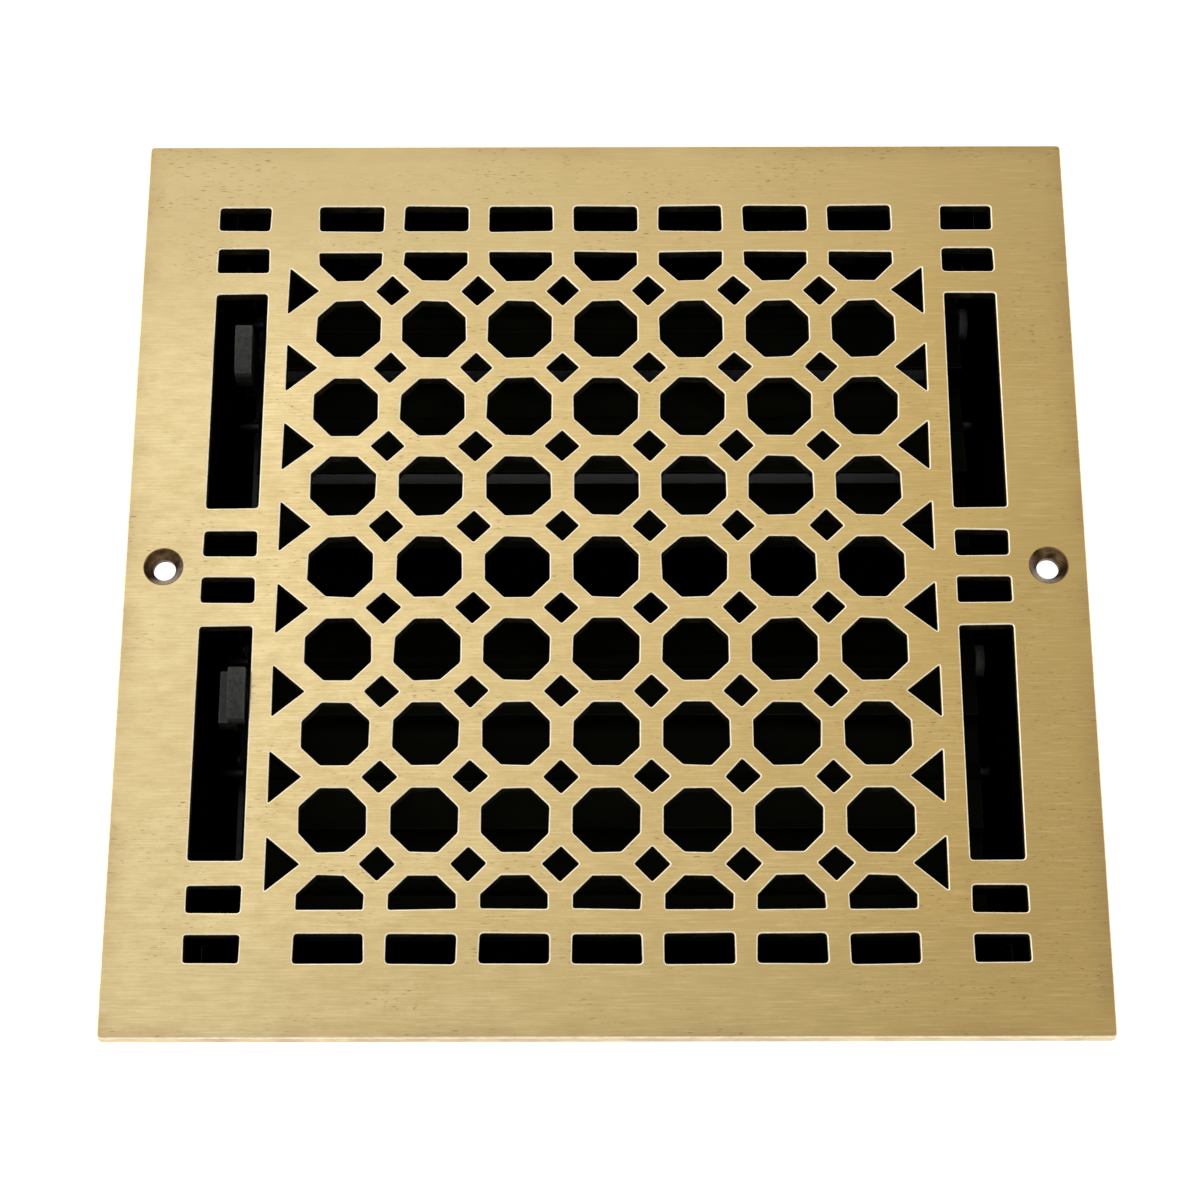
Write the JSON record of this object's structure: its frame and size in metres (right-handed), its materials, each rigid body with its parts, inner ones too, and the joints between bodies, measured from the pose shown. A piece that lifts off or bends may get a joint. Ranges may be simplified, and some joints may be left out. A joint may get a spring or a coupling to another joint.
{
  "type": "louvred air grille",
  "caption": "Square brass air grille with an octagon lattice and two countersunk holes, over a black damper box with two banks of pivoting louvre blades, each worked by a lever.",
  "frame": {"origin": "middle of the damper box open rear, on the surface that the grille stands on when it lies face up", "axes": "+X to the right across the face, +Y up the face, +Z out of the face"},
  "size_m": [0.2476, 0.2476, 0.0427],
  "materials": {
    "antique_brass": "satin, brushed along X, lacquered antique brass",
    "black_paint": "satin black paint on sheet steel",
    "lever_iron": "rough black finish, worn grey",
    "zinc_plate": "dull zinc plate",
    "nylon": "dark nylon"
  },
  "bodies": {
    "frame": {"grille_face": "antique_brass", "left_side_plate": "black_paint", "right_side_plate": "black_paint", "upper_end_plate": "black_paint", "lower_end_plate": "black_paint", "centre_rail": "black_paint", "corner_rivets": "black_paint", "rail_rivets": "black_paint", "fixing_clips": "black_paint", "clip_screws": "zinc_plate", "clip_rivets": "black_paint"},
    "upper_louvre_1": {"upper_blade_1": "black_paint", "upper_pivot_pins_1": "zinc_plate", "upper_crank_pin_1": "zinc_plate", "upper_friction_washer": "nylon"},
    "upper_louvre_2": {"upper_blade_2": "black_paint", "upper_pivot_pins_2": "zinc_plate", "upper_crank_pin_2": "zinc_plate"},
    "upper_louvre_3": {"upper_blade_3": "black_paint", "upper_pivot_pins_3": "zinc_plate", "upper_crank_pin_3": "zinc_plate"},
    "upper_link": {"upper_link_bar": "black_paint", "upper_link_washers": "nylon", "upper_lever": "lever_iron", "upper_lever_rivets": "lever_iron"},
    "lower_louvre_1": {"lower_blade_1": "black_paint", "lower_pivot_pins_1": "zinc_plate", "lower_crank_pin_1": "zinc_plate", "lower_friction_washer": "nylon"},
    "lower_louvre_2": {"lower_blade_2": "black_paint", "lower_pivot_pins_2": "zinc_plate", "lower_crank_pin_2": "zinc_plate"},
    "lower_louvre_3": {"lower_blade_3": "black_paint", "lower_pivot_pins_3": "zinc_plate", "lower_crank_pin_3": "zinc_plate"},
    "lower_link": {"lower_link_bar": "black_paint", "lower_link_washers": "nylon", "lower_lever": "lever_iron", "lower_lever_rivets": "lever_iron"}
  },
  "joints": [
    {"name": "upper_louvre_1_pivot", "type": "hinge", "parent": "frame", "child": "upper_louvre_1", "pos_m": [0, 0.0797, 0.0194], "axis": [-1, 0, 0], "range_deg": [-12, 73]},
    {"name": "upper_louvre_2_pivot", "type": "hinge", "parent": "frame", "child": "upper_louvre_2", "pos_m": [0, 0.0491, 0.0194], "axis": [-1, 0, 0], "range_deg": [-12, 73]},
    {"name": "upper_louvre_3_pivot", "type": "hinge", "parent": "frame", "child": "upper_louvre_3", "pos_m": [0, 0.0185, 0.0194], "axis": [-1, 0, 0], "range_deg": [-12, 73]},
    {"name": "upper_link_pivot", "type": "hinge", "parent": "upper_louvre_1", "child": "upper_link", "pos_m": [0, 0.0852, 0.00987], "axis": [-1, 0, 0], "range_deg": [-73, 12]},
    {"name": "lower_louvre_1_pivot", "type": "hinge", "parent": "frame", "child": "lower_louvre_1", "pos_m": [0, -0.0185, 0.0194], "axis": [-1, 0, 0], "range_deg": [-5, 80]},
    {"name": "lower_louvre_2_pivot", "type": "hinge", "parent": "frame", "child": "lower_louvre_2", "pos_m": [0, -0.0491, 0.0194], "axis": [-1, 0, 0], "range_deg": [-5, 80]},
    {"name": "lower_louvre_3_pivot", "type": "hinge", "parent": "frame", "child": "lower_louvre_3", "pos_m": [0, -0.0797, 0.0194], "axis": [-1, 0, 0], "range_deg": [-5, 80]},
    {"name": "lower_link_pivot", "type": "hinge", "parent": "lower_louvre_1", "child": "lower_link", "pos_m": [0, -0.01188, 0.01061], "axis": [-1, 0, 0], "range_deg": [-80, 5]}
  ],
  "couplings": [
    {"joint": "upper_louvre_2_pivot", "follows": "upper_louvre_1_pivot", "ratio": 1},
    {"joint": "upper_louvre_3_pivot", "follows": "upper_louvre_1_pivot", "ratio": 1},
    {"joint": "upper_link_pivot", "follows": "upper_louvre_1_pivot", "ratio": -1},
    {"joint": "lower_louvre_2_pivot", "follows": "lower_louvre_1_pivot", "ratio": 1},
    {"joint": "lower_louvre_3_pivot", "follows": "lower_louvre_1_pivot", "ratio": 1},
    {"joint": "lower_link_pivot", "follows": "lower_louvre_1_pivot", "ratio": -1}
  ]
}
